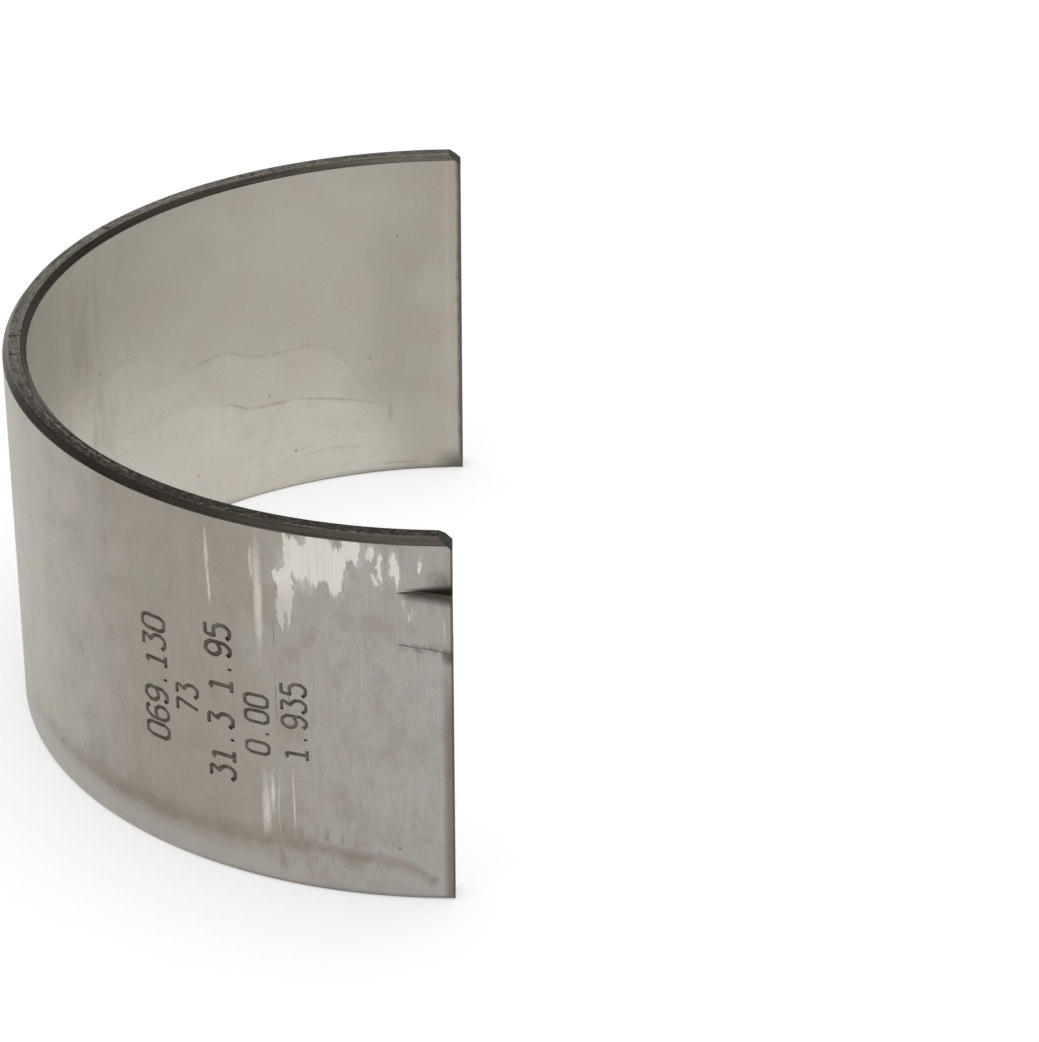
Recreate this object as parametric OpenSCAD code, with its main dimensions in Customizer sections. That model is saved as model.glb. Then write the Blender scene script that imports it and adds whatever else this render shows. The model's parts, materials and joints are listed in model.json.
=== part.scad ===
// One half of a plain big-end bearing: a thin steel-backed half shell with a pressed locating tang.
// The bearing axis is Z, the parting faces look along +X and the crown lies at -X.
// The origin is on the axis, at mid length, in the parting plane of the housing.

/* [Shell] */
// Diameter of the housing bore that the back of the shell seats in
housing_d = 73; // [60:0.5:90]
// Length of the shell along the bearing axis
shell_length = 31.3; // [25:0.1:40]
// Wall thickness at the crown
wall = 1.95; // [1.6:0.05:2.5]
// How much thinner the wall is at the parting faces than at the crown
wall_thinning = 0.015; // [0.005:0.005:0.04]
// How far each parting face stands past the half circle, so that the clamped pair is pressed tight
crush_height = 0.03; // [0.01:0.01:0.08]

/* [Fillet end] */
// Radial width of the chamfer on the back
back_chamfer_r = 0.45; // [0.2:0.05:0.6]
// Length along the axis of the chamfer on the back
back_chamfer_z = 0.6; // [0.2:0.05:1]
// Radial width of the chamfer in the bore
bore_chamfer_r = 0.5; // [0.2:0.05:0.7]
// Length along the axis of the chamfer in the bore
bore_chamfer_z = 0.5; // [0.2:0.05:1]
// Size of the 45 degree cut across the corner of each parting face
corner_cut = 1; // [0.4:0.1:2]

/* [Plain end] */
// Size of the 45 degree edge break on the back and in the bore
edge_break = 0.15; // [0.05:0.05:0.4]

/* [Parting relief] */
// Width of the relieved strip of bore beside each parting face
relief_width = 1.3; // [0.5:0.1:3]
// Depth of the relieved strip
relief_depth = 0.03; // [0.01:0.01:0.1]

/* [Locating tang] */
// Width of the tang along the axis
tang_width = 4.9; // [3:0.1:8]
// Length of the tang from its root to the parting face
tang_length = 3.9; // [2.5:0.1:6]
// How far the end of the tang stands out of the back
tang_rise = 1.2; // [0.6:0.05:1.5]
// Distance from the rim at the fillet end to the tang
tang_from_rim = 4.3; // [3:0.1:15]
// How far the end of the tang stands back from the parting face
tang_setback = 0.05; // [0.02:0.01:0.3]

/* [Hidden] */
$fn = 180;
// Extra reach of cutting shapes past the faces that they cut
overcut = 1;
back_r = housing_d / 2;
// The bore's axis lies off the back's axis by the thinning, so the wall tapers from crown to parting face
bore_offset = wall_thinning;
bore_r = back_r - wall + wall_thinning;
plain_end = -shell_length / 2;
fillet_end = shell_length / 2;

// Plan of the tang: a straight ramp from its root on the back, out to its tip beside the parting face
tang_root = [-tang_length, -sqrt(back_r * back_r - tang_length * tang_length)];
tang_tip = [crush_height - tang_setback, -back_r - tang_rise];
tang_slope = (tang_tip.y - tang_root.y) / (tang_tip.x - tang_root.x);
tang_low = fillet_end - tang_from_rim - tang_width;
mid_wall_r = back_r - wall / 2;

// Distance in Y of the recess floor behind the tang, one wall thickness inside the ramp
function recess_floor(x) = tang_tip.y + wall + tang_slope * (x - tang_tip.x);

// Solid half round with the back's chamfer and edge break, trimmed to the parting faces
module half_round() {
    intersection() {
        rotate_extrude()
            polygon([
                [0, plain_end],
                [back_r - edge_break, plain_end],
                [back_r, plain_end + edge_break],
                [back_r, fillet_end - back_chamfer_z],
                [back_r - back_chamfer_r, fillet_end],
                [0, fillet_end]
            ]);
        translate([-back_r - overcut, -back_r - overcut, plain_end - overcut])
            cube([
                back_r + overcut + crush_height,
                2 * (back_r + overcut),
                shell_length + 2 * overcut
            ]);
    }
}

// Space of the bore, flared at both ends by its chamfer and edge break
module bore_space() {
    flare = bore_chamfer_r * (1 + overcut / bore_chamfer_z);
    translate([bore_offset, 0, 0])
        rotate_extrude()
            polygon([
                [0, plain_end - overcut],
                [bore_r + edge_break + overcut, plain_end - overcut],
                [bore_r, plain_end + edge_break],
                [bore_r, fillet_end - bore_chamfer_z],
                [bore_r + flare, fillet_end + overcut],
                [0, fillet_end + overcut]
            ]);
}

// Shallow strip taken out of the bore beside both parting faces
module parting_relief() {
    relief_r = bore_r + relief_depth;
    tool_length = shell_length + 2 * overcut;
    intersection() {
        translate([bore_offset, 0, 0])
            cylinder(r = relief_r, h = tool_length, center = true);
        translate([crush_height - relief_width, -relief_r - overcut, -tool_length / 2])
            cube([relief_width + overcut, 2 * (relief_r + overcut), tool_length]);
    }
}

// Prism that takes the corner off both parting faces at the fillet end
module corner_cuts() {
    reach = corner_cut + overcut;
    rotate([90, 0, 0])
        linear_extrude(height = 2 * (back_r + tang_rise + overcut), center = true)
            polygon([
                [crush_height - reach, fillet_end + overcut],
                [crush_height + overcut, fillet_end - reach],
                [crush_height + overcut, fillet_end + overcut]
            ]);
}

// Flap of wall that is pressed outwards to make the tang
module tang_flap() {
    translate([0, 0, tang_low])
        linear_extrude(height = tang_width)
            polygon([
                tang_root,
                tang_tip,
                [tang_tip.x, -mid_wall_r],
                [tang_root.x, -mid_wall_r]
            ]);
}

// Recess that the pressing leaves in the bore, behind the tang
module tang_recess() {
    left = tang_root.x - overcut;
    right = crush_height + overcut;
    bore_side = -bore_r + 2 * wall;
    translate([0, 0, tang_low])
        linear_extrude(height = tang_width)
            polygon([
                [left, recess_floor(left)],
                [right, recess_floor(right)],
                [right, bore_side],
                [left, bore_side]
            ]);
}

module bearing_shell() {
    color([0.62, 0.6, 0.57])
        difference() {
            union() {
                half_round();
                tang_flap();
            }
            bore_space();
            parting_relief();
            tang_recess();
            corner_cuts();
        }
}

bearing_shell();
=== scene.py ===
"""Looks of an engine bearing shell: one half of a plain big-end bearing, standing on its plain end.

The bearing axis is Z, the parting faces look along +X, the crown lies at -X and the tang is on the near
limb at -Y. Sizes are in millimetres and are turned into metres when a mesh is made. A place on the back is
given as its arc from the near parting face and its height from mid length. A place in the bore is given as
its arc from the far parting face.
"""
import json
import math

import bmesh
import bpy
import numpy as np
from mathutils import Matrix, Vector


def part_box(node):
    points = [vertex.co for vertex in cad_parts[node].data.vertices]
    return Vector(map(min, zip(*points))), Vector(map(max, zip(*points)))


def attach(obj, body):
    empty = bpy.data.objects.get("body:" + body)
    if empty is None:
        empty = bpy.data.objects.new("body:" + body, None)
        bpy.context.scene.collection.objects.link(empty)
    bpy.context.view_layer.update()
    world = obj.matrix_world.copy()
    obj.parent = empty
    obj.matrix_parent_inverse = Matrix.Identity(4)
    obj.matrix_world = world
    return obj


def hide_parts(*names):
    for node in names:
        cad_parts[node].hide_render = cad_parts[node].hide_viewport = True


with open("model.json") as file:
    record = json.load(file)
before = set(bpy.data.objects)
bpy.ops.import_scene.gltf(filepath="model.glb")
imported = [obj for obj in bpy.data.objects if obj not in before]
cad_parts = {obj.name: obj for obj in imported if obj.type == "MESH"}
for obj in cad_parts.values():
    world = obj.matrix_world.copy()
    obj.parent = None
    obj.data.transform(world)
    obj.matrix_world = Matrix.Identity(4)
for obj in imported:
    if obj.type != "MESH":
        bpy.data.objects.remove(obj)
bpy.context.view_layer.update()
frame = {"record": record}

MM = 0.001
NODE = "bearing_shell"
PIECE = "bearing_shell_finished"

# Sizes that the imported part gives
low_corner, high_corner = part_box(NODE)
mounts = {mount["name"]: mount for mount in frame["record"]["mounts"]}
BACK_R = high_corner.y / MM
HALF_LENGTH = high_corner.z / MM
CRUSH = high_corner.x / MM
TANG_RISE = -low_corner.y / MM - BACK_R
BORE_R = mounts["journal_bore"]["dims"]["r_mm"]
BORE_OFFSET = mounts["journal_bore"]["pos_m"][0] / MM
TANG_MID_Z = mounts["locating_tang"]["pos_m"][2] / MM
WALL = BACK_R - BORE_R + BORE_OFFSET
SWEPT_WALL = BACK_R - BORE_R

# Rims
BACK_CHAMFER_R = 0.45
BACK_CHAMFER_Z = 0.6
BORE_CHAMFER_R = 0.5
BORE_CHAMFER_Z = 0.5
EDGE_BREAK = 0.15
EDGE_ROUND = 0.07
RIM_HEIGHT = 0.85
CORNER_CUT = 1.0
NICK_DEPTH = 0.07
LAND_OUTER_R = BACK_R - BACK_CHAMFER_R
LAND_INNER_R = BORE_R + BORE_CHAMFER_R

# Parting relief
RELIEF_WIDTH = 1.3
RELIEF_DEPTH = 0.03

# Tang
TANG_WIDTH = 4.9
TANG_LENGTH = 3.9
TANG_SETBACK = 0.05
TANG_ROOT_BLEND = 1.0
TANG_SIDE_ROUND = 0.45
TANG_END_ROUND = 0.1
TANG_BLEND_STEPS = 6
TANG_ROUND_STEPS = 5
TANG_LOW_Z = TANG_MID_Z - TANG_WIDTH / 2
TANG_HIGH_Z = TANG_MID_Z + TANG_WIDTH / 2

# Fineness of the swept mesh
ARC_STEPS = 900
RIM_SPACING = 0.13
WALL_SPACING = 3.5
ROUND_STEPS = 2
OVERCUT = 1.0
SHARP_ANGLE = 38.0

# Height of a face's normal beyond which a side of the tang or its recess counts as sheared
SHEARED_ABOVE = 0.6
SHEARED_BELOW = -0.95

# Plain sizes stamped in the back, reading upwards: text, arc, middle height, digit height, groove width
NUMBER_ROWS = (
    ("069.130", 24.6, -0.55, 2.2, 0.38),
    ("73", 21.5, -1.4, 1.95, 0.36),
    ("31.3 1.95", 18.45, -0.8, 2.15, 0.39),
    ("0.00", 15.3, -1.9, 1.9, 0.33),
    ("1.935", 12.2, -1.05, 1.95, 0.33),
)
DIGIT_PITCH = 0.72
DIGIT_WIDTH = 0.52
DIGIT_ROUND = 0.16
GROOVE_RISE = 0.06
GROOVE_WAVER = 0.1
GROOVE_SIDES = 10
DIGIT_ROUND_STEPS = 4

# Strokes of each digit on a grid four wide and six high; the second stroke is cut after the first
DIGIT_GRID = (4.0, 6.0)
DIGITS = {
    "0": (((2, 0), (3.2, 0), (4, 1.2), (4, 4.8), (3.2, 6), (0.8, 6), (0, 4.8), (0, 1.2), (0.8, 0), (2, 0)),),
    "1": (((0.6, 4.7), (2.1, 6), (2.1, 0)), ((0.4, 0), (3.8, 0))),
    "3": (((0.2, 6), (3.8, 6), (1.9, 3.6), (3, 3.6), (4, 2.5), (4, 1.1), (2.9, 0), (1.1, 0), (0, 0.9)),),
    "5": ((
        (3.8, 6), (0.5, 6), (0.3, 3.3), (1.2, 3.9), (2.9, 3.9),
        (4, 2.8), (4, 1.1), (2.9, 0), (1.1, 0), (0, 0.8),
    ),),
    "6": (
        (
            (3.7, 5.2), (2.8, 6), (1.3, 6), (0, 4.6), (0, 1.2), (1.1, 0),
            (2.9, 0), (4, 1.1), (4, 2.4), (2.9, 3.5), (1.3, 3.5),
        ),
        ((1.7, 3.5), (0.1, 2.8)),
    ),
    "7": (((0, 6), (4, 6), (1.6, 0)),),
    "9": (
        (
            (0.3, 0.8), (1.2, 0), (2.7, 0), (4, 1.4), (4, 4.8), (2.9, 6),
            (1.1, 6), (0, 4.9), (0, 3.6), (1.1, 2.5), (2.7, 2.5),
        ),
        ((2.3, 2.5), (3.9, 3.2)),
    ),
    ".": (((1.6, 0.3), (2.4, 0.3)),),
    " ": (),
}

# Rubbed streaks on the back, along the axis: arc, middle height, width, length
STREAKS = (
    (19.15, 12.1, 0.46, 4.4), (19.05, 9.5, 0.3, 3.8), (14.85, 9.2, 0.85, 11.6), (15.3, 12.0, 0.4, 3.6),
    (14.75, -9.0, 0.85, 6.4), (14.15, -7.7, 0.5, 4.4), (13.65, -8.5, 0.16, 5.6), (12.4, -8.0, 0.2, 5.8),
    (0.55, 8.5, 0.16, 2.6), (3.6, 10.1, 0.18, 0.9), (2.9, 9.6, 0.16, 1.1), (3.2, 9.25, 0.18, 0.7),
)

# Polished smear under the fillet end, as strokes that overlap: arc, middle height, width, length
SMEAR = (
    (12.7, 11.2, 1.6, 2.2), (12.55, 9.8, 1.15, 3.2), (13.0, 8.2, 0.45, 2.6), (12.35, 8.1, 0.3, 2.2),
    (11.6, 12.9, 2.2, 3.4), (10.0, 13.4, 2.6, 4.8), (8.8, 12.4, 1.3, 4.4), (8.1, 13.3, 0.9, 1.8),
    (7.5, 14.5, 1.35, 2.8), (6.0, 14.3, 0.8, 1.4), (5.3, 13.2, 0.36, 2.3), (4.4, 13.5, 0.85, 2.1),
    (4.05, 12.6, 0.5, 1.8), (2.4, 13.4, 0.24, 1.6), (5.75, 12.2, 0.26, 0.6), (12.4, 14.6, 0.3, 2.0),
)

# Lower line of the brown stain along the plain end: arc, height
BAND_LINE = (
    (1.2, -14.5), (2.0, -13.8), (3.0, -13.0), (4.5, -12.5), (7.0, -12.2), (10.5, -11.9), (15.5, -12.1),
    (21.0, -12.3), (36.0, -12.6), (44.0, -12.8), (47.0, -13.5), (49.0, -14.4),
)

# Dried oil lines in the bore: points of arc and height, then strength
OIL_LINES = (
    (((14.0, -1.7), (17.5, -1.75), (20.0, -1.4), (22.5, -0.4), (25.5, -0.5)), 0.45),
    (((6.7, -8.7), (9.5, -8.0), (12.5, -7.3), (16.0, -6.75), (20.0, -6.6), (22.5, -5.5)), 0.45),
    (((9.3, -12.8), (11.5, -12.4), (14.5, -12.7), (17.0, -13.0)), 0.22),
    (((4.0, -14.9), (6.0, -14.7), (8.0, -14.8)), 0.5),
    (((6.7, -8.6), (9.0, -6.4), (10.5, -4.0), (12.0, -2.3), (14.5, -1.7)), 0.2),
    (((25.0, -0.4), (30.0, 1.1), (34.0, 3.1), (38.5, 2.4)), 0.12),
)

# Upper limit of the paler wash in the bore: arc, height
WASH_LINE = (
    (6.7, -8.6), (9.0, -6.4), (10.5, -4.0), (12.0, -2.3), (14.5, -1.7), (19.5, -1.5), (22.5, -0.4),
    (25.5, -0.5), (30.0, 1.1), (34.0, 3.1), (38.5, 2.4), (46.0, 4.0),
)

# The photograph's camera: frame and focal length in pixels, angles in degrees, and the point that it looks at
FRAME_LONG_SIDE = 1042
FOCAL_PIXELS = 3798.1
SENSOR_WIDTH = 36.0
CAMERA_PITCH = 28.396
CAMERA_YAW = 0.309
CAMERA_DISTANCE = 315.68
CAMERA_AIM = (5.101, 0.0, -2.593)

# The studio, in metres and watts: floor, world light on the object, and the lamp overhead
FLOOR_HALF = 3.0
FLOOR_SHADE = (0.8, 0.8, 0.8, 1.0)
FLOOR_GLOW = 0.46
WORLD_LIGHT = 0.3
LAMP_PLACE = (0.0, 0.0, 0.9)
LAMP_SIZE = 1.0
LAMP_WATTS = 5.0


def srgb(red, green, blue):
    """Linear colour of an 8-bit screen colour."""
    def linear(value):
        share = value / 255
        return share / 12.92 if share <= 0.04045 else ((share + 0.055) / 1.055) ** 2.4
    return (linear(red), linear(green), linear(blue), 1.0)


class Nodes:
    """Short calls that add nodes to one tree and return their output sockets."""

    def __init__(self, tree):
        self.tree = tree

    def add(self, kind, inputs=None, **settings):
        node = self.tree.nodes.new(kind)
        for name, value in settings.items():
            setattr(node, name, value)
        for key, value in (inputs or {}).items():
            if isinstance(value, bpy.types.NodeSocket):
                self.tree.links.new(value, node.inputs[key])
            else:
                node.inputs[key].default_value = value
        return node

    def math(self, operation, a, b=0.0, c=0.0):
        return self.add("ShaderNodeMath", {0: a, 1: b, 2: c}, operation=operation).outputs[0]

    def times(self, first, *others):
        for other in others:
            first = self.math("MULTIPLY", first, other)
        return first

    def plus(self, first, *others):
        for other in others:
            first = self.math("ADD", first, other)
        return first

    def most(self, first, *others):
        for other in others:
            first = self.math("MAXIMUM", first, other)
        return first

    def spread(self, value, factor):
        """Turns a 0 to 1 pattern into a signed one of the given full width."""
        return self.math("MULTIPLY_ADD", value, factor, -factor / 2)

    def vector_math(self, operation, a, b=(0.0, 0.0, 0.0)):
        return self.add("ShaderNodeVectorMath", {0: a, 1: b}, operation=operation).outputs[0]

    def scaled(self, vector, factor):
        return self.add("ShaderNodeVectorMath", {0: vector, "Scale": factor}, operation="SCALE").outputs[0]

    def split(self, vector):
        return self.add("ShaderNodeSeparateXYZ", {0: vector}).outputs

    def joined(self, x, y, z):
        return self.add("ShaderNodeCombineXYZ", {0: x, 1: y, 2: z}).outputs[0]

    def ramp(self, value, low, high, to_low=0.0, to_high=1.0):
        """Smooth step of a value from low to high."""
        inputs = {0: value, 1: low, 2: high, 3: to_low, 4: to_high}
        return self.add("ShaderNodeMapRange", inputs, interpolation_type="SMOOTHSTEP").outputs[0]

    def window(self, value, low, high, soft):
        """One between low and high, with soft ends."""
        half = soft / 2
        rise = self.ramp(value, low - half, low + half)
        fall = self.ramp(value, high - half, high + half, 1.0, 0.0)
        return self.times(rise, fall)

    def noise(self, vector, scale, detail=2.0, roughness=0.5):
        inputs = {"Vector": vector, "Scale": scale, "Detail": detail, "Roughness": roughness}
        return self.add("ShaderNodeTexNoise", inputs).outputs["Fac"]

    def specks(self, vector, scale, size, share):
        """Sparse round dots: one dot in a share of the cells."""
        cells = self.add("ShaderNodeTexVoronoi", {"Vector": vector, "Scale": scale}).outputs
        chosen = self.math("LESS_THAN", self.split(cells["Color"])[0], share)
        return self.times(self.ramp(cells["Distance"], size / 2, size, 1.0, 0.0), chosen)

    def follow(self, value, points):
        """Height of a smooth line through points of (value, height)."""
        span = 60.0
        node = self.add("ShaderNodeFloatCurve", {1: self.math("DIVIDE", value, span)})
        curve = node.mapping.curves[0]
        first, last = points[0], points[-1]
        places = [(0.0, first[1]), *points, (span, last[1])]
        while len(curve.points) < len(places):
            curve.points.new(0.5, 0.5)
        for point, (along, height) in zip(curve.points, places):
            point.location = (along / span, 0.5 + height / span)
        node.mapping.update()
        return self.math("MULTIPLY_ADD", node.outputs[0], span, -span / 2)

    def tint(self, base, colour, factor):
        """Colour mix from base to colour."""
        return self.add("ShaderNodeMix", {0: factor, 6: base, 7: colour}, data_type="RGBA").outputs[2]

    def between(self, a, b, factor):
        """Number mix from a to b."""
        return self.add("ShaderNodeMix", {0: factor, 2: a, 3: b}, data_type="FLOAT").outputs[0]

    def bump(self, height, depth, strength=1.0, normal=None):
        inputs = {"Strength": strength, "Distance": depth * MM, "Height": height}
        if normal is not None:
            inputs["Normal"] = normal
        return self.add("ShaderNodeBump", inputs).outputs[0]

    def compare(self, operation, a, b):
        return self.add("FunctionNodeCompare", {0: a, 1: b}, operation=operation).outputs[0]


def unrolled(kit, position, radius):
    """Arc from the near parting face, height, depth from the axis, and all three as one vector, in mm."""
    x, y, z = kit.split(kit.scaled(position, 1 / MM))
    angle = kit.math("ARCTAN2", y, kit.times(x, -1.0))
    arc = kit.math("MULTIPLY_ADD", angle, radius, radius * math.pi / 2)
    depth = kit.math("SQRT", kit.plus(kit.times(x, x), kit.times(y, y)))
    return arc, z, depth, kit.joined(arc, z, depth)


def stretched(kit, vector, along_arc, along_z, along_depth=1.0):
    """Pattern place with more repeats along the arc, the height or the depth."""
    return kit.vector_math("MULTIPLY", vector, (along_arc, along_z, along_depth))


def new_material(name):
    """Empty metal material: the material, its node kit, its shader and the place on the object."""
    material = bpy.data.materials.new(name)
    material.use_nodes = True
    material.node_tree.nodes.clear()
    kit = Nodes(material.node_tree)
    shader = kit.add("ShaderNodeBsdfPrincipled", {"Metallic": 1.0})
    kit.add("ShaderNodeOutputMaterial", {"Surface": shader.outputs[0]})
    return material, kit, shader, kit.add("ShaderNodeTexCoord").outputs["Object"]


def wire(kit, shader, colour, roughness, normal):
    """Links a finished look to the shader."""
    for name, socket in (("Base Color", colour), ("Roughness", roughness), ("Normal", normal)):
        kit.tree.links.new(socket, shader.inputs[name])


def nearest_stroke(kit, point, strokes):
    """Reach of a point to the nearest of some long ovals: below one inside, above one outside."""
    least = None
    for arc, z, width, length in strokes:
        sizes = {0: point, 1: (2 / width, 2 / length, 0.0), 2: (-2 * arc / width, -2 * z / length, 0.0)}
        offset = kit.add("ShaderNodeVectorMath", sizes, operation="MULTIPLY_ADD").outputs[0]
        reach = kit.add("ShaderNodeVectorMath", {0: offset}, operation="LENGTH").outputs["Value"]
        least = reach if least is None else kit.math("MINIMUM", least, reach)
    return least


def rubbed_marks(kit, arc, z, place, grain):
    """Polished smear under the fillet end, torn along the axis, and fainter rubbed streaks."""
    torn = kit.noise(stretched(kit, place, 2.6, 0.35), 1.0, 4.0, 0.65)
    lumps = kit.noise(stretched(kit, place, 0.9, 0.7), 1.0, 3.0, 0.6)
    along = kit.plus(z, kit.spread(torn, 2.8), kit.spread(lumps, 1.4))
    across = kit.plus(arc, kit.spread(lumps, 1.1), kit.spread(torn, 0.5))
    reach = nearest_stroke(kit, kit.joined(across, along, 0.0), SMEAR)
    scored = kit.ramp(grain, 0.28, 0.55, 0.75, 1.0)
    smear = kit.times(kit.ramp(reach, 0.86, 1.06, 1.0, 0.0), scored, kit.ramp(z, 8.6, 11.4, 0.55, 1.0))
    halo = kit.times(kit.ramp(reach, 1.0, 1.9, 0.3, 0.0), kit.ramp(torn, 0.42, 0.6), kit.ramp(z, 9.0, 11.0))
    narrow = kit.plus(arc, kit.spread(lumps, 0.3), kit.spread(torn, 0.25))
    reach = nearest_stroke(kit, kit.joined(narrow, along, 0.0), STREAKS)
    strength = kit.times(kit.ramp(torn, 0.36, 0.6, 0.6, 1.0), kit.ramp(z, 0.0, 4.0, 0.75, 0.72))
    return kit.most(smear, halo, kit.times(kit.ramp(reach, 0.2, 1.15, 1.0, 0.0), strength))


def tang_marks_and_shade(kit, arc, z, depth, clouds, flecked):
    """Painted shadow with dark drag marks above the tang, painted shade on its upper rounded side, and scuffs
    with painted shadow along its lower side.
    """
    uneven = kit.spread(clouds, 0.5)
    height = kit.math("SUBTRACT", z, TANG_HIGH_Z)
    thick = kit.ramp(arc, -0.8, TANG_LENGTH + 0.2, 0.72, 0.04)
    share = kit.math("DIVIDE", kit.plus(height, kit.times(uneven, 0.6)), thick)
    on_back = kit.ramp(height, -0.04, 0.04)
    above = kit.times(on_back, kit.ramp(share, 0.2, 1.3, 0.9, 0.0), kit.ramp(arc, 3.2, TANG_LENGTH, 1.0, 0.0))
    smudge = kit.times(on_back, kit.ramp(height, 0.6, 2.2, 0.5, 0.0), kit.ramp(arc, 0.8, 2.2, 1.0, 0.0))
    smudge = kit.times(smudge, kit.ramp(flecked, 0.35, 0.6, 0.4, 1.0))
    raised = kit.ramp(depth, BACK_R + 0.02, BACK_R + 0.2)
    shade = kit.times(raised, kit.ramp(height, -1.0, -0.2), 0.95)
    scuff = kit.window(kit.plus(z, uneven), TANG_LOW_Z - 0.4, TANG_LOW_Z + 0.5, 0.6)
    scuff = kit.times(scuff, kit.ramp(flecked, 0.42, 0.58), kit.ramp(arc, 0.6, TANG_LENGTH + 0.8, 0.8, 0.15))
    scuff = kit.times(scuff, kit.ramp(arc, TANG_LENGTH, TANG_LENGTH + 0.8, 1.0, 0.0))
    blob = kit.window(kit.plus(z, uneven), TANG_LOW_Z - 1.2, TANG_LOW_Z + 0.5, 0.8)
    blob = kit.times(blob, kit.ramp(kit.plus(arc, kit.spread(flecked, 1.2)), 0.3, 0.9, 0.85, 0.0))
    return kit.most(above, smudge, shade, scuff, blob)


def stained_band(kit, arc, z, place, clouds):
    """Brown stain along the plain end: a dark lower line that fades upwards, with smears across it."""
    streaky = kit.noise(stretched(kit, place, 1.7, 0.3), 1.0, 4.0, 0.65)
    offset = kit.math("SUBTRACT", kit.plus(z, kit.spread(clouds, 0.7)), kit.follow(arc, BAND_LINE))
    reach = kit.plus(kit.ramp(arc, 5.0, 17.0, 0.5, 1.8), kit.spread(streaky, 1.6))
    fading = kit.ramp(kit.math("DIVIDE", offset, reach), 0.0, 1.0, 1.0, 0.0)
    band = kit.times(kit.ramp(offset, -0.95, 0.0), fading)
    band = kit.times(band, kit.ramp(arc, 1.0, 2.4), kit.ramp(arc, 22.0, 50.0, 1.0, 0.3))
    band = kit.times(band, kit.ramp(clouds, 0.3, 0.66, 0.55, 1.0))
    thin = kit.ramp(kit.math("ABSOLUTE", offset), 0.12, 0.75, 0.8, 0.0)
    thin = kit.times(thin, kit.ramp(arc, 10.0, 17.0, 1.0, 0.0))
    band = kit.most(band, kit.times(thin, kit.ramp(arc, 1.0, 2.0), kit.ramp(clouds, 0.3, 0.6, 0.6, 1.0)))
    smears = kit.times(kit.window(z, -14.6, -10.2, 2.0), kit.window(arc, 7.6, 14.0, 2.0))
    smears = kit.times(smears, kit.ramp(streaky, 0.48, 0.64))
    spot = kit.times(kit.window(arc, 1.3, 1.9, 0.5), kit.window(z, -14.3, -13.6, 0.5))
    return kit.most(band, kit.times(smears, 0.9), spot)


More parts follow.
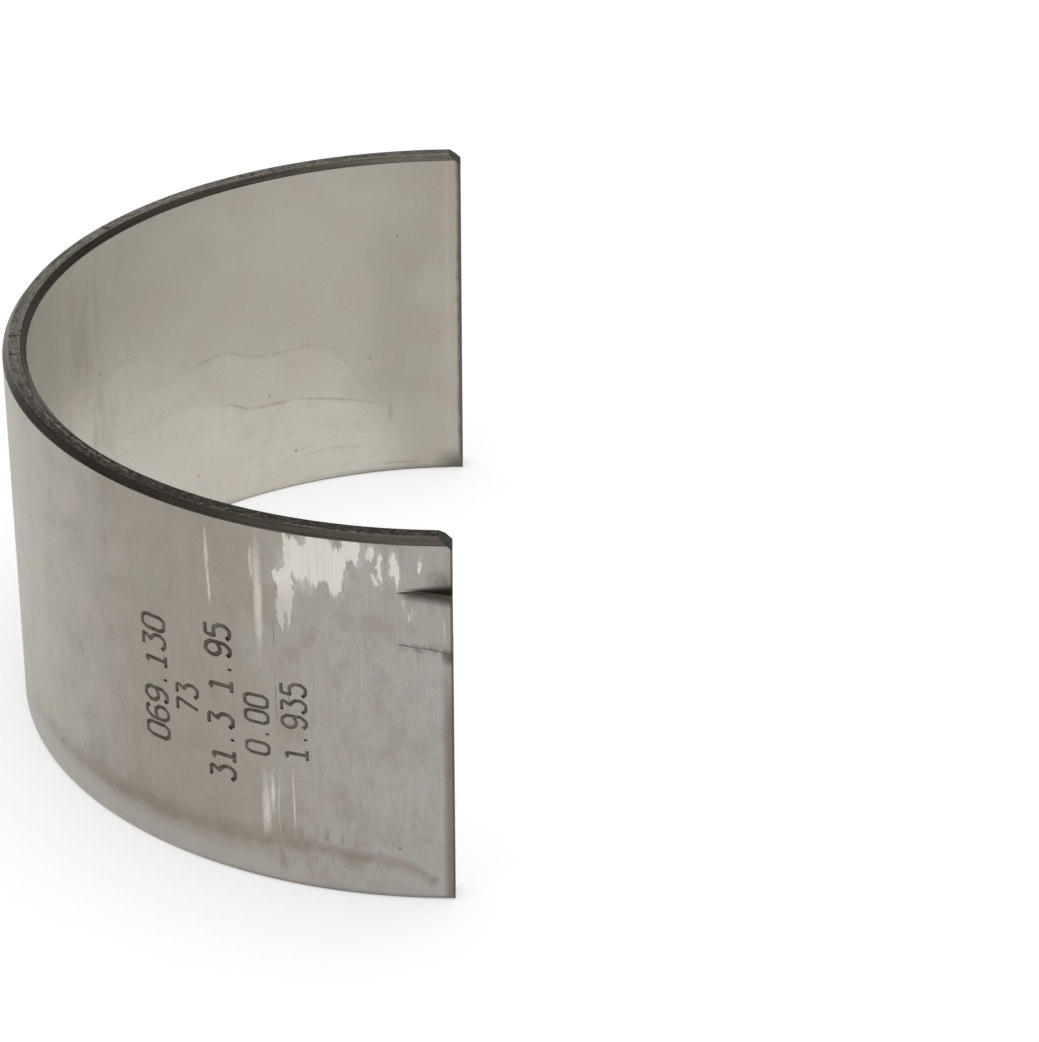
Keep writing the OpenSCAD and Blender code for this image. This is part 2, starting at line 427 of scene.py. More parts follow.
def steel_back():
    """Satin steel back: fine axial grain, mottling, polished smears, brown stains, and painted reflection and
    shade.
    """
    material, kit, shader, position = new_material("steel_back")
    arc, z, depth, place = unrolled(kit, position, BACK_R)
    hue = kit.noise(stretched(kit, place, 1.0, 0.7), 0.3, 4.0, 0.62)
    clouds = kit.noise(stretched(kit, place, 1.0, 0.6), 0.5, 4.0, 0.62)
    grain = kit.noise(stretched(kit, place, 7.0, 0.2), 1.0, 2.0, 0.6)
    flecked = kit.noise(stretched(kit, place, 3.2, 1.4), 1.0, 3.0, 0.65)
    colour = kit.tint(srgb(169, 164, 155), srgb(174, 162, 155), kit.ramp(hue, 0.52, 0.68, 0.0, 0.55))
    colour = kit.tint(colour, srgb(167, 168, 159), kit.ramp(hue, 0.32, 0.48, 0.5, 0.0))
    uneven = kit.plus(arc, kit.spread(hue, 14.0))
    # Painted reflection: lighter near the near parting face
    colour = kit.tint(colour, srgb(173, 170, 168), kit.ramp(uneven, 6.0, 15.0, 0.5, 0.0))
    colour = kit.tint(colour, srgb(159, 152, 142), kit.ramp(clouds, 0.48, 0.72, 0.0, 0.7))
    colour = kit.tint(colour, srgb(152, 147, 139), kit.ramp(grain, 0.42, 0.75, 0.0, 0.3))
    colour = kit.tint(colour, srgb(146, 141, 133), kit.ramp(flecked, 0.48, 0.76, 0.0, 0.4))
    # Painted shade: a darker band across the middle of the near limb
    colour = kit.tint(colour, srgb(152, 144, 133), kit.times(kit.window(uneven, 15.0, 29.0, 9.0), 0.55))
    # Painted reflection: lighter towards and beyond the crown
    colour = kit.tint(colour, srgb(188, 185, 175), kit.times(kit.ramp(uneven, 30.0, 44.0), 0.62))
    foot = kit.times(kit.ramp(z, -14.5, -12.6, 0.6, 0.0), kit.ramp(arc, 8.0, 16.0, 0.3, 1.0))
    colour = kit.tint(colour, srgb(184, 180, 176), foot)
    band = stained_band(kit, arc, z, place, clouds)
    colour = kit.tint(colour, srgb(138, 128, 116), kit.times(band, 0.68))
    edge = kit.times(kit.ramp(arc, 0.3, 1.0, 1.0, 0.0), kit.ramp(z, 0.0, 6.0, 0.85, 0.2))
    colour = kit.tint(colour, srgb(124, 114, 103), edge)
    rim_line = kit.ramp(z, 0.15 - HALF_LENGTH, 0.5 - HALF_LENGTH, 0.5, 0.0)
    rim_line = kit.times(rim_line, kit.ramp(arc, 14.0, 24.0, 1.0, 0.0))
    colour = kit.tint(colour, srgb(120, 110, 98), rim_line)
    # Painted shade of the rounded parting edge: a thin dark line along the near parting face
    colour = kit.tint(colour, srgb(90, 82, 72), kit.ramp(arc, 0.06, 0.2, 0.8, 0.0))
    polished = rubbed_marks(kit, arc, z, place, grain)
    colour = kit.tint(colour, srgb(215, 210, 201), polished)
    # Painted shadow and shade round the tang, mixed with drag marks and scuffs
    dirt_and_shade = tang_marks_and_shade(kit, arc, z, depth, clouds, flecked)
    colour = kit.tint(colour, srgb(80, 75, 67), kit.times(dirt_and_shade, 0.9))
    # Painted highlight: a thin pale line along the crease above the tang
    crease_highlight = kit.window(z, TANG_HIGH_Z, TANG_HIGH_Z + 0.07, 0.05)
    crease_highlight = kit.times(crease_highlight, kit.ramp(arc, 2.4, 3.2, 0.8, 0.0))
    colour = kit.tint(colour, srgb(96, 91, 82), crease_highlight)
    scratch = kit.times(kit.window(arc, 13.58, 13.66, 0.06), kit.window(z, -1.0, 6.8, 3.0))
    scratch = kit.times(scratch, kit.ramp(clouds, 0.4, 0.55))
    colour = kit.tint(colour, srgb(96, 90, 82), kit.times(scratch, 0.7))
    colour = kit.tint(colour, srgb(104, 98, 89), kit.times(kit.specks(place, 0.5, 0.1, 0.08), 0.5))
    roughness = kit.between(kit.ramp(clouds, 0.3, 0.7, 0.46, 0.52), 0.36, polished)
    wire(kit, shader, colour, roughness, kit.bump(grain, 0.02, 0.25))
    return material


def oil_marks(kit, far, z, clouds):
    """Dried oil lines on the far limb of the bore, and the paler washes below the first two, which also carry
    painted reflection.
    """
    waver = kit.spread(clouds, 0.7)
    broken = kit.ramp(clouds, 0.4, 0.6, 0.35, 1.0)
    stains = kit.times(kit.window(kit.plus(far, waver), 6.4, 6.7, 0.3), kit.window(z, -10.4, -8.8, 1.2), 0.35)
    for points, strength in OIL_LINES:
        offset = kit.math("SUBTRACT", kit.plus(z, kit.times(waver, 0.6)), kit.follow(far, points))
        line = kit.window(offset, -0.1, 0.1, 0.28)
        line = kit.times(line, kit.window(far, points[0][0], points[-1][0], 1.6))
        stains = kit.most(stains, kit.times(line, broken, strength))
    drift = kit.plus(z, kit.times(waver, 3.0))
    first = kit.math("SUBTRACT", drift, kit.follow(far, WASH_LINE))
    second = kit.math("SUBTRACT", drift, kit.follow(far, OIL_LINES[1][0]))
    wash_and_reflection = kit.most(kit.ramp(first, -7.0, 3.0, 0.8, 0.0), kit.ramp(first, -0.9, 0.5, 0.35, 0.0))
    film_and_reflection = kit.most(kit.ramp(second, -5.0, 1.0, 0.7, 0.0), kit.ramp(second, -0.8, 0.3, 0.35, 0.0))
    film_and_reflection = kit.most(film_and_reflection, kit.times(kit.ramp(first, -5.0, 2.0, 0.95, 0.0), kit.ramp(far, 34.0, 44.0)))
    inland = kit.ramp(kit.plus(far, kit.times(waver, 3.0)), 3.6, 9.0)
    crown = kit.ramp(far, 52.0, 76.0, 1.0, 0.25)
    return stains, kit.times(wash_and_reflection, inland, crown), kit.times(film_and_reflection, inland, crown)


def bore_lining():
    """Satin bearing lining: faint boring lines, soft cloudy tone, dried oil lines, and painted shade and
    reflection.
    """
    material, kit, shader, position = new_material("bore_lining")
    arc, z, _, place = unrolled(kit, position, BORE_R)
    far = kit.math("SUBTRACT", math.pi * BORE_R, arc)
    hue = kit.noise(place, 0.2, 4.0, 0.6)
    clouds = kit.noise(place, 0.6, 4.0, 0.6)
    flecked = kit.noise(stretched(kit, place, 2.6, 4.0), 1.0, 3.0, 0.65)
    turned = kit.noise(stretched(kit, place, 0.2, 6.0), 1.0, 2.0, 0.6)
    wisps = kit.noise(stretched(kit, place, 0.5, 0.1), 1.0, 3.0, 0.6)
    colour = kit.tint(srgb(182, 178, 168), srgb(188, 178, 170), kit.ramp(hue, 0.5, 0.68, 0.0, 0.65))
    colour = kit.tint(colour, srgb(178, 178, 167), kit.ramp(hue, 0.32, 0.48, 0.5, 0.0))
    stains, wash_and_reflection, film_and_reflection = oil_marks(kit, far, z, clouds)
    # Painted shade: the bore darkens towards its top, most strongly 24 to 30 mm round from the far parting
    # face
    shaded = kit.times(kit.window(far, 24.0, 74.0, 30.0), kit.ramp(z, -4.0, 14.0))
    colour = kit.tint(colour, srgb(164, 159, 148), kit.times(shaded, kit.ramp(far, 30.0, 46.0, 0.75, 0.1)))
    # The paler washes are partly oil wash and partly painted reflection, lighter low in the bore
    colour = kit.tint(colour, srgb(203, 199, 189), kit.times(wash_and_reflection, 0.9))
    colour = kit.tint(colour, srgb(214, 209, 198), kit.times(film_and_reflection, 0.72))
    # Painted shade: a darker strip a few millimetres in from the far parting face
    parting_side_shade = kit.window(kit.plus(far, kit.spread(hue, 9.0)), 3.4, 8.0, 4.0)
    parting_side_shade = kit.times(parting_side_shade, kit.window(z, -9.0, 9.0, 8.0))
    colour = kit.tint(colour, srgb(166, 159, 150), kit.times(parting_side_shade, 0.45))
    smoky = kit.times(kit.ramp(wisps, 0.46, 0.66), kit.window(far, 36.0, 46.0, 7.0))
    smoky = kit.times(smoky, kit.window(z, -4.0, 14.0, 6.0))
    colour = kit.tint(colour, srgb(150, 145, 135), kit.times(smoky, 0.36))
    colour = kit.tint(colour, srgb(178, 173, 163), kit.ramp(clouds, 0.5, 0.75, 0.0, 0.28))
    colour = kit.tint(colour, srgb(172, 168, 158), kit.ramp(turned, 0.45, 0.75, 0.0, 0.12))
    colour = kit.tint(colour, srgb(168, 163, 154), kit.ramp(flecked, 0.48, 0.78, 0.0, 0.22))
    colour = kit.tint(colour, srgb(142, 122, 107), stains)
    relief = kit.plus(far, kit.spread(clouds, 0.5))
    relief = kit.ramp(relief, RELIEF_WIDTH - 0.3, RELIEF_WIDTH + 0.9, 1.0, 0.0)
    colour = kit.tint(colour, srgb(190, 183, 170), kit.times(relief, 0.3))
    corner = kit.ramp(z, 0.2 - HALF_LENGTH, 2.6 - HALF_LENGTH, 1.0, 0.0)
    corner = kit.times(corner, kit.ramp(far, 0.2, 3.4, 0.8, 0.0))
    foot = kit.ramp(z, 0.2 - HALF_LENGTH, 0.7 - HALF_LENGTH, 0.45, 0.0)
    foot = kit.times(foot, kit.ramp(far, 6.0, 16.0, 1.0, 0.2))
    colour = kit.tint(colour, srgb(118, 108, 97), foot)
    # Painted shade of the rounded parting edge: a thin dark line along the far parting face, partly dotted
    dotted = kit.times(kit.ramp(far, 0.25, 0.45, 0.5, 0.0), kit.ramp(clouds, 0.5, 0.6))
    line = kit.most(kit.ramp(kit.plus(far, kit.spread(clouds, 0.4)), 0.1, 0.55, 0.85, 0.0), dotted)
    colour = kit.tint(colour, srgb(84, 78, 68), kit.most(corner, line))
    colour = kit.tint(colour, srgb(110, 104, 93), kit.times(kit.specks(place, 0.4, 0.09, 0.16), 0.5))
    roughness = kit.ramp(hue, 0.3, 0.7, 0.48, 0.54)
    normal = kit.bump(wisps, 0.12, 0.3)
    normal = kit.bump(turned, 0.004, 0.2, normal)
    wire(kit, shader, colour, roughness, normal)
    return material


def rim_edge():
    """Dark rim, partly painted shade: striped chamfers with painted reflection, a black land that is worn
    bright round the crown, painted edge highlights, and dark corner cuts.
    """
    material, kit, shader, position = new_material("rim_edge")
    arc, z, depth, place = unrolled(kit, position, BACK_R)
    x = kit.times(kit.split(position)[0], 1 / MM)
    cloudy = kit.noise(place, 0.9, 4.0, 0.62)
    strands = kit.noise(stretched(kit, place, 0.4, 1.0, 5.0), 1.0, 4.0, 0.68)
    speckle = kit.noise(stretched(kit, place, 2.2, 1.0, 4.5), 1.0, 3.0, 0.68)
    lines = kit.noise(stretched(kit, place, 0.12, 9.0, 9.0), 1.0, 2.0, 0.6)
    mottled = kit.ramp(kit.plus(kit.times(strands, 0.55), kit.times(speckle, 0.45)), 0.42, 0.6)
    # The land's near black is partly dark steel and partly painted shade
    land = kit.tint(srgb(66, 62, 55), srgb(110, 105, 96), kit.ramp(speckle, 0.42, 0.66))
    worn = kit.times(kit.ramp(arc, 34.0, 54.0), kit.ramp(arc, 84.0, 108.0, 1.0, 0.62))
    land = kit.tint(land, srgb(172, 168, 156), kit.times(worn, kit.plus(0.35, kit.times(mottled, 0.65))))
    rust = kit.times(kit.window(arc, 45.0, 55.0, 4.0), kit.ramp(cloudy, 0.48, 0.62, 0.0, 0.4))
    land = kit.tint(land, srgb(112, 90, 82), rust)
    # Painted reflection on the outer chamfer: lighter at the near parting face, darker towards the crown, and
    # lighter from the crown on
    outer = kit.tint(srgb(102, 97, 88), srgb(72, 68, 61), kit.ramp(arc, 0.0, 30.0))
    outer = kit.tint(outer, srgb(136, 132, 120), kit.ramp(arc, 43.0, 54.0))
    outer = kit.tint(outer, srgb(54, 50, 44), kit.ramp(lines, 0.42, 0.7, 0.0, 0.6))
    inner = kit.tint(srgb(82, 78, 69), srgb(100, 95, 85), kit.ramp(arc, 94.0, 113.0))
    inner = kit.tint(inner, srgb(122, 117, 107), kit.ramp(arc, 44.0, 52.0, 1.0, 0.0))
    inner = kit.tint(inner, srgb(54, 50, 44), kit.ramp(lines, 0.45, 0.66, 0.0, 0.7))
    colour = kit.tint(land, outer, kit.ramp(depth, LAND_OUTER_R - 0.02, LAND_OUTER_R + 0.05))
    colour = kit.tint(colour, inner, kit.ramp(depth, LAND_INNER_R - 0.05, LAND_INNER_R + 0.02, 1.0, 0.0))
    ridge_r = kit.plus(LAND_INNER_R + 0.35 * (LAND_OUTER_R - LAND_INNER_R), kit.spread(cloudy, 0.35))
    off_ridge = kit.math("ABSOLUTE", kit.math("SUBTRACT", depth, ridge_r))
    on_land = kit.ramp(depth, LAND_OUTER_R - 0.1, LAND_OUTER_R, 1.0, 0.0)
    on_land = kit.times(on_land, kit.ramp(depth, LAND_INNER_R, LAND_INNER_R + 0.1))
    battered = kit.times(kit.ramp(arc, 24.0, 34.0), kit.ramp(arc, 66.0, 78.0, 1.0, 0.0))
    bright = kit.times(kit.ramp(off_ridge, 0.04, 0.2, 1.0, 0.0), kit.ramp(speckle, 0.44, 0.58))
    bright = kit.times(bright, battered, on_land)
    colour = kit.tint(colour, srgb(180, 175, 162), kit.times(bright, 0.8))
    # Painted highlight: a bright line along the land's outer edge from the crown on
    off_edge = kit.math("ABSOLUTE", kit.math("SUBTRACT", depth, LAND_OUTER_R))
    edge = kit.times(kit.ramp(off_edge, 0.03, 0.09, 0.6, 0.0), kit.ramp(arc, 40.0, 58.0))
    colour = kit.tint(colour, srgb(186, 182, 170), edge)
    # Painted highlight: a pale line on the inner chamfer just below the land, on the near limb up to the
    # crown
    inner_line = kit.window(depth, LAND_INNER_R - 0.22, LAND_INNER_R - 0.14, 0.06)
    inner_line = kit.times(inner_line, kit.window(arc, 24.0, 60.0, 8.0))
    colour = kit.tint(colour, srgb(124, 119, 108), kit.times(inner_line, 0.5))
    cracks = kit.noise(stretched(kit, place, 1.1, 0.2, 0.25), 1.0, 2.0, 0.55)
    cracks = kit.times(kit.ramp(cracks, 0.64, 0.67), worn)
    colour = kit.tint(colour, srgb(46, 42, 37), kit.times(cracks, on_land, 0.7))
    off_cut = kit.math("ABSOLUTE", kit.plus(x, z, CORNER_CUT - CRUSH - HALF_LENGTH))
    colour = kit.tint(colour, srgb(46, 43, 37), kit.ramp(off_cut, 0.02, 0.05, 1.0, 0.0))
    roughness = kit.between(kit.ramp(cloudy, 0.3, 0.7, 0.46, 0.56), 0.38, bright)
    normal = kit.bump(strands, 0.05, kit.times(worn, 0.8))
    normal = kit.bump(lines, 0.01, 0.4, normal)
    wire(kit, shader, colour, roughness, normal)
    return material


def parting_face():
    """Broached parting faces with fine lines along the axis, and the sheared sides of the tang, dark partly
    as painted shade.
    """
    material, kit, shader, position = new_material("parting_face")
    depth = unrolled(kit, position, BACK_R)[2]
    place = kit.scaled(position, 1 / MM)
    lines = kit.noise(kit.vector_math("MULTIPLY", place, (6.0, 6.0, 0.4)), 1.0, 3.0, 0.6)
    spots = kit.noise(place, 0.8, 4.0, 0.6)
    colour = kit.tint(srgb(86, 81, 73), srgb(118, 113, 103), kit.ramp(lines, 0.35, 0.7))
    colour = kit.tint(colour, srgb(64, 59, 51), kit.ramp(spots, 0.5, 0.75, 0.0, 0.7))
    # Painted shade, partly: faces standing proud of the back, the tang's sheared sides and rounds, are
    # darkened
    colour = kit.tint(colour, srgb(64, 60, 52), kit.ramp(depth, BACK_R, BACK_R + 0.08, 0.0, 0.9))
    roughness = kit.ramp(spots, 0.3, 0.7, 0.42, 0.58)
    wire(kit, shader, colour, roughness, kit.bump(lines, 0.02, 0.5))
    return material


def stamp_groove():
    """Grooves of the stamped numbers: pale like the back at their edges, and dark and matt at the bottom, the
    dark partly dirt and partly painted shade.
    """
    material, kit, shader, position = new_material("stamp_groove")
    _, _, depth, place = unrolled(kit, position, BACK_R)
    dirt_and_shade = kit.noise(place, 1.1, 4.0, 0.6)
    # Dirt and painted shade: the groove darkens with its depth
    sunk = kit.plus(kit.math("SUBTRACT", BACK_R, depth), kit.spread(dirt_and_shade, 0.08))
    dark = kit.tint(srgb(88, 82, 73), srgb(132, 126, 116), kit.ramp(dirt_and_shade, 0.42, 0.68))
    colour = kit.tint(srgb(146, 140, 130), dark, kit.ramp(sunk, 0.0, 0.11))
    roughness = kit.ramp(dirt_and_shade, 0.3, 0.7, 0.52, 0.66)
    wire(kit, shader, colour, roughness, kit.bump(dirt_and_shade, 0.04, 0.5))
    return material


def rounded_outline(corners, radius):
    """Closed outline in which a short curve takes the place of each corner."""
    points = []
    for index, corner in enumerate(corners):
        before = corners[index - 1] - corner
        after = corners[(index + 1) % len(corners)] - corner
        start = corner + before.normalized() * radius
        end = corner + after.normalized() * radius
        for step in range(ROUND_STEPS + 1):
            share = step / ROUND_STEPS
            points.append(start.lerp(corner, share).lerp(corner.lerp(end, share), share))
    return points


def split_edges(points):
    """Closed outline whose edges are cut into short steps, finer on the rim of the fillet end."""
    cut = []
    for index, point in enumerate(points):
        following = points[(index + 1) % len(points)]
        on_rim = min(point.y, following.y) > HALF_LENGTH - RIM_HEIGHT
        spacing = RIM_SPACING if on_rim else WALL_SPACING
        steps = max(1, round((following - point).length / spacing))
        cut.extend(point.lerp(following, step / steps) for step in range(steps))
    return cut


def section_curve():
    """Closed curve of the section before the wall is thinned: depth from the back across, height up."""
    top = HALF_LENGTH
    bottom = -HALF_LENGTH
    corners = [Vector(corner) for corner in (
        (-EDGE_BREAK, bottom), (0.0, bottom + EDGE_BREAK),
        (0.0, top - BACK_CHAMFER_Z), (-BACK_CHAMFER_R, top),
        (BORE_CHAMFER_R - SWEPT_WALL, top), (-SWEPT_WALL, top - BORE_CHAMFER_Z),
        (-SWEPT_WALL, bottom + EDGE_BREAK), (EDGE_BREAK - SWEPT_WALL, bottom),
    )]
    points = split_edges(rounded_outline(corners, EDGE_ROUND))
    curve = bpy.data.curves.new("shell_section", "CURVE")
    spline = curve.splines.new("POLY")
    spline.points.add(len(points) - 1)
    for point, (depth, height) in zip(spline.points, points):
        point.co = (depth * MM, -height * MM, 0.0, 1.0)
    spline.use_cyclic_u = True
    return bpy.data.objects.new("shell_section", curve)


def number_strokes(layer):
    """Flat curves of the stamped digits: height along X, arc along Y, half a groove's width as radius."""
    curve = bpy.data.curves.new("number_strokes", "CURVE")
    curve.dimensions = "3D"
    for text, arc, middle_z, size, groove in NUMBER_ROWS:
        width = size * DIGIT_WIDTH
        for place, sign in enumerate(text):
            left = middle_z + (place - (len(text) - 1) / 2) * size * DIGIT_PITCH - width / 2
            for stroke in DIGITS[sign][layer:layer + 1]:
                closed = stroke[0] == stroke[-1]
                points = stroke[:-1] if closed else stroke
                spline = curve.splines.new("POLY")
                spline.points.add(len(points) - 1)
                spline.use_cyclic_u = closed
                for point, (across, up) in zip(spline.points, points):
                    z = left + across / DIGIT_GRID[0] * width
                    s = arc + (up / DIGIT_GRID[1] - 0.5) * size
                    point.co = (z * MM, s * MM, 0.0, 1.0)
                    point.radius = groove / 2
    return bpy.data.objects.new("number_strokes", curve)


def new_tree(name, sizes, counts=(), objects=()):
    """Geometry tree with named inputs: its kit and its input sockets."""
    tree = bpy.data.node_groups.new(name, "GeometryNodeTree")
    tree.interface.new_socket(name="Geometry", in_out="OUTPUT", socket_type="NodeSocketGeometry")
    tree.interface.new_socket(name="Geometry", in_out="INPUT", socket_type="NodeSocketGeometry")
    for names, kind in ((objects, "Object"), (sizes, "Float"), (counts, "Int")):
        for name in names:
            tree.interface.new_socket(name=name, in_out="INPUT", socket_type=f"NodeSocket{kind}")
    kit = Nodes(tree)
    return kit, kit.add("NodeGroupInput").outputs


def finish_tree(kit, geometry, material):
    """Ends a geometry tree in real geometry with one material."""
    geometry = kit.add("GeometryNodeRealizeInstances", {"Geometry": geometry}).outputs[0]
    geometry = kit.add("GeometryNodeSetMaterial", {"Geometry": geometry, "Material": material}).outputs[0]
    kit.add("NodeGroupOutput", {"Geometry": geometry})
    return kit.tree


def moved(kit, geometry, selection, offset):
    """Geometry whose selected points are moved by an offset."""
    inputs = {"Geometry": geometry, "Selection": selection, "Offset": offset}
    return kit.add("GeometryNodeSetPosition", inputs).outputs[0]


def shell_tree(material):
    """Sweeps the section round the half circle, thins the wall, and adds relief, nicks and flat ends."""
    kit, given = new_tree(
        "half_shell_sweep",
        ("Back radius", "Half length", "Rim height", "Wall", "Bore offset", "Crush height",
         "Relief width", "Relief depth", "Nick depth"),
        ("Arc steps",), ("Section",),
    )
    position = kit.add("GeometryNodeInputPosition").outputs[0]
    section = kit.add("GeometryNodeObjectInfo", {"Object": given["Section"]}).outputs["Geometry"]
    overhang = kit.math("ARCSINE", kit.math("DIVIDE", given["Crush height"], given["Back radius"]))
    path = kit.add("GeometryNodeCurveArc", {
        "Resolution": given["Arc steps"], "Radius": given["Back radius"],
        "Start Angle": kit.math("SUBTRACT", math.pi / 2, overhang),
        "Sweep Angle": kit.math("MULTIPLY_ADD", overhang, 2.0, math.pi),
    }, mode="RADIUS").outputs[0]
    path = kit.add("GeometryNodeSetCurveNormal", {"Curve": path}, mode="Z_UP").outputs[0]
    inputs = {"Curve": path, "Profile Curve": section, "Fill Caps": True}
    shell = kit.add("GeometryNodeCurveToMesh", inputs).outputs[0]
    shell = kit.add("GeometryNodeFlipFaces", {"Mesh": shell}).outputs[0]

    x, y, z = kit.split(position)
    arc, _, depth, place = unrolled(kit, position, BACK_R)
    middle = kit.math("MULTIPLY_ADD", given["Wall"], -0.5, given["Back radius"])
    bore_side = kit.compare("LESS_THAN", kit.times(depth, MM), middle)
    shell = moved(kit, shell, bore_side, kit.joined(given["Bore offset"], 0.0, 0.0))
    relief_start = kit.math("SUBTRACT", given["Crush height"], given["Relief width"])
    relieved = kit.compare("GREATER_THAN", x, relief_start)
    relieved = kit.add("FunctionNodeBooleanMath", {0: bore_side, 1: relieved}, operation="AND").outputs[0]
    outward = kit.vector_math("NORMALIZE", kit.joined(x, y, 0.0))
    shell = moved(kit, shell, relieved, kit.scaled(outward, given["Relief depth"]))

    on_rim = kit.compare("GREATER_THAN", z, kit.math("SUBTRACT", given["Half length"], given["Rim height"]))
    battered = kit.times(kit.ramp(arc, 18.0, 52.0, 0.1, 1.0), kit.ramp(arc, 76.0, 100.0, 1.0, 0.25))
    battered = kit.times(battered, kit.window(depth, LAND_INNER_R + 0.05, LAND_OUTER_R - 0.02, 0.25))
    pits = kit.ramp(kit.noise(stretched(kit, place, 0.7, 1.0), 1.3, 4.0, 0.65), 0.5, 0.74)
    torn = kit.noise(stretched(kit, place, 0.5, 1.0, 3.0), 1.2, 3.0, 0.6)
    cracks = kit.ramp(kit.noise(stretched(kit, place, 3.0, 0.2, 0.5), 0.8, 2.0, 0.5), 0.7, 0.76)
    dent = kit.plus(pits, kit.times(torn, 0.5), cracks)
    normal = kit.add("GeometryNodeInputNormal").outputs[0]
    inward = kit.times(dent, battered, given["Nick depth"], -1.0)
    shell = moved(kit, shell, on_rim, kit.scaled(normal, inward))
    trimmed = kit.joined(kit.math("MINIMUM", x, given["Crush height"]), y, z)
    shell = kit.add("GeometryNodeSetPosition", {"Geometry": shell, "Position": trimmed}).outputs[0]
    return finish_tree(kit, shell, material)


def groove_tree(material):
    """Turns flat strokes into round-bottomed groove tools wrapped round the near limb."""
    sizes = ("Back radius", "Round", "Rise", "Waver")
    kit, given = new_tree("number_grooves", sizes, ("Sides",), ("Strokes",))
    strokes = kit.add("GeometryNodeObjectInfo", {"Object": given["Strokes"]}).outputs["Geometry"]
    strokes = kit.add("GeometryNodeFilletCurve", {
        "Curve": strokes, "Count": DIGIT_ROUND_STEPS, "Radius": given["Round"], "Limit Radius": True,
    }, mode="POLY").outputs[0]
    inputs = {"Resolution": given["Sides"], "Radius": MM}
    profile = kit.add("GeometryNodeCurvePrimitiveCircle", inputs).outputs[0]
    strokes = kit.add("GeometryNodeCurveToMesh", {
        "Curve": strokes, "Profile Curve": profile, "Fill Caps": True,
        "Scale": kit.add("GeometryNodeInputRadius").outputs[0],
    }).outputs[0]
    position = kit.add("GeometryNodeInputPosition").outputs[0]
    z, arc, lift = kit.split(position)
    uneven = kit.spread(kit.noise(kit.scaled(position, 1 / MM), 0.35, 2.0), 1.0)
    angle = kit.math("DIVIDE", arc, given["Back radius"])
    radius = kit.plus(lift, given["Back radius"], given["Rise"], kit.times(uneven, given["Waver"]))
    x = kit.times(radius, kit.math("SINE", angle), -1.0)
    y = kit.times(radius, kit.math("COSINE", angle), -1.0)
    wrapped = {"Geometry": strokes, "Position": kit.joined(x, y, z)}
    strokes = kit.add("GeometryNodeSetPosition", wrapped).outputs[0]
    return finish_tree(kit, strokes, material)


def keep_result(obj):
    """Makes the modified shape the object's own mesh and removes the modifiers."""
    depsgraph = bpy.context.evaluated_depsgraph_get()
    mesh = bpy.data.meshes.new_from_object(obj.evaluated_get(depsgraph), depsgraph=depsgraph)
    obj.modifiers.clear()
    obj.data = mesh


def grown(name, tree, values):
    """Object whose mesh is the result of a geometry tree with the given input values."""
    obj = bpy.data.objects.new(name, bpy.data.meshes.new(name))
    bpy.context.scene.collection.objects.link(obj)
    modifier = obj.modifiers.new(tree.name, "NODES")
    modifier.node_group = tree
    for item in tree.interface.items_tree:
        if item.name in values:
            modifier[item.identifier] = values[item.name]
    keep_result(obj)
    return obj


def prism(name, outline, direction, materials, side_round=0.0, rounded_points=0):
    """Solid between an outline and its copy moved by direction; rims along its first points get a round."""
    form = bmesh.new()
    base = [form.verts.new(Vector(point) * MM) for point in outline]
    far = [form.verts.new((Vector(point) + Vector(direction)) * MM) for point in outline]
    form.faces.new(base)
    form.faces.new(reversed(far))
    for index in range(len(base)):
        form.faces.new((base[index - 1], far[index - 1], far[index], base[index]))
    bmesh.ops.recalc_face_normals(form, faces=form.faces)
    sides = [set(side[:rounded_points]) for side in (base, far)]
    rims = [edge for edge in form.edges if any(set(edge.verts) <= side for side in sides)]
    if rims:
        bmesh.ops.bevel(
            form, geom=rims, offset=side_round * MM, segments=TANG_ROUND_STEPS, profile=0.5, affect="EDGES",
        )
    mesh = bpy.data.meshes.new(name)
    form.to_mesh(mesh)
    form.free()
    for material in materials:
        mesh.materials.append(material)
    for face in mesh.polygons:
        sheared = face.normal.z > SHEARED_ABOVE or face.normal.z < SHEARED_BELOW
        face.material_index = len(materials) - 1 if sheared else 0
    obj = bpy.data.objects.new(name, mesh)
    bpy.context.scene.collection.objects.link(obj)
    return obj


def combine(shell, tool, operation):
    """Cuts a tool out of the shell or joins it on, and removes the tool."""
    modifier = shell.modifiers.new(tool.name, "BOOLEAN")
    modifier.operation = operation
    modifier.object = tool
    modifier.solver = "MANIFOLD"
    modifier.material_mode = "TRANSFER"
    keep_result(shell)
    bpy.data.objects.remove(tool)


